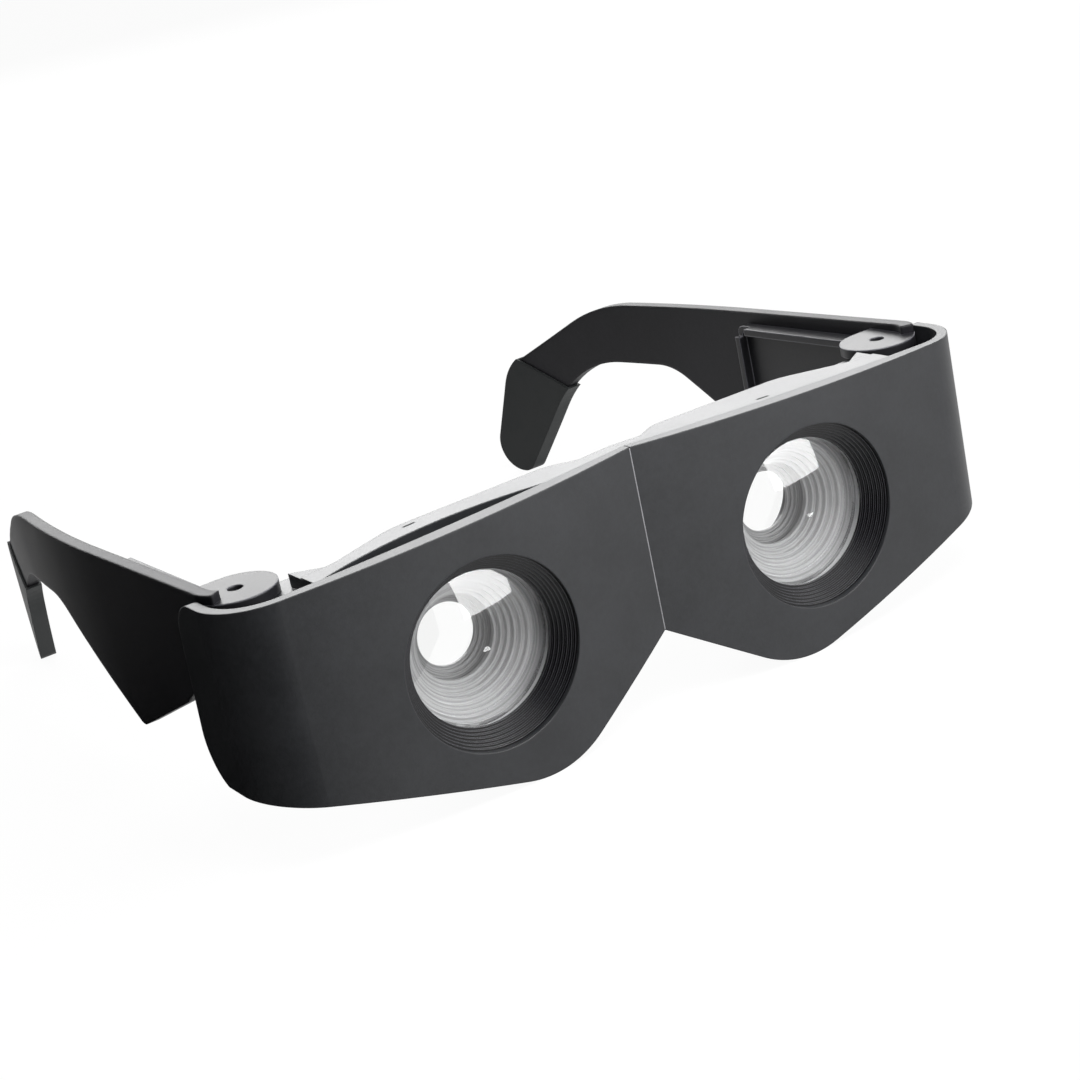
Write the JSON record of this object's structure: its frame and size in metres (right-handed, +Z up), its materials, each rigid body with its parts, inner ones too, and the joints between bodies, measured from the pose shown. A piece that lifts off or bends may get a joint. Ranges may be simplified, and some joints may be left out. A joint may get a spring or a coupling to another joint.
{
  "type": "binocular glasses",
  "caption": "Hands-free binocular glasses: a wide wrapped front with a short focusing telescope for each eye, a nose rest, and folding arms with ear hooks.",
  "frame": {"origin": "centre of the footprint, on the surface that the glasses stand on", "axes": "+Z up, +Y from the front face back towards the wearer, +X to the right seen from in front"},
  "size_m": [0.144, 0.1466, 0.045],
  "materials": {
    "cover": "satin black, fine grain",
    "housing": "satin dark grey",
    "hood": "matt black",
    "lens": "clear polished",
    "barrel": "light grey",
    "ring": "matt black",
    "steel": "plain",
    "pad": "soft matt",
    "arm": "satin black",
    "sleeve": "soft matt black"
  },
  "bodies": {
    "frame": {"left_front_cover": "cover", "right_front_cover": "cover", "rear_housing": "housing", "housing_screws": "steel", "left_hood_ring": "hood", "right_hood_ring": "hood", "left_objective_lens": "lens", "right_objective_lens": "lens", "left_lens_barrel": "barrel", "right_lens_barrel": "barrel", "nose_bridge": "ring", "left_nose_pad": "pad", "right_nose_pad": "pad"},
    "left_arm_body": {"left_arm": "arm", "left_hinge_bracket": "arm", "left_hinge_pin": "steel", "left_bracket_screws": "steel", "left_tip_sleeve": "sleeve"},
    "left_ring_body": {"left_focus_ring": "ring"},
    "left_eyepiece_body": {"left_eyepiece_cell": "barrel", "left_eyepiece_lens": "lens", "left_eyepiece_retainer": "steel"},
    "right_arm_body": {"right_arm": "arm", "right_hinge_bracket": "arm", "right_hinge_pin": "steel", "right_bracket_screws": "steel", "right_tip_sleeve": "sleeve"},
    "right_ring_body": {"right_focus_ring": "ring"},
    "right_eyepiece_body": {"right_eyepiece_cell": "barrel", "right_eyepiece_lens": "lens", "right_eyepiece_retainer": "steel"}
  },
  "joints": [
    {"name": "left_arm_fold", "type": "hinge", "parent": "frame", "child": "left_arm_body", "pos_m": [-0.0633, -0.0558, 0.03364], "axis": [0, 0, -1], "range_deg": [0, 45]},
    {"name": "left_focus_turn", "type": "hinge", "parent": "frame", "child": "left_ring_body", "pos_m": [-0.032, -0.0563, 0.02264], "axis": [0, 1, 0], "range_deg": [-45, 45]},
    {"name": "left_eyepiece_slide", "type": "slide", "parent": "frame", "child": "left_eyepiece_body", "axis": [0, 1, 0], "range_m": [-0.0007, 0.0007]},
    {"name": "right_arm_fold", "type": "hinge", "parent": "frame", "child": "right_arm_body", "pos_m": [0.0633, -0.0558, 0.03364], "axis": [0, 0, 1], "range_deg": [0, 84]},
    {"name": "right_focus_turn", "type": "hinge", "parent": "frame", "child": "right_ring_body", "pos_m": [0.032, -0.0563, 0.02264], "axis": [0, 1, 0], "range_deg": [-45, 45]},
    {"name": "right_eyepiece_slide", "type": "slide", "parent": "frame", "child": "right_eyepiece_body", "axis": [0, 1, 0], "range_m": [-0.0007, 0.0007]}
  ],
  "couplings": [
    {"joint": "left_eyepiece_slide", "follows": "left_focus_turn", "m_per_rad": 0.00089},
    {"joint": "right_eyepiece_slide", "follows": "right_focus_turn", "m_per_rad": 0.00089}
  ]
}
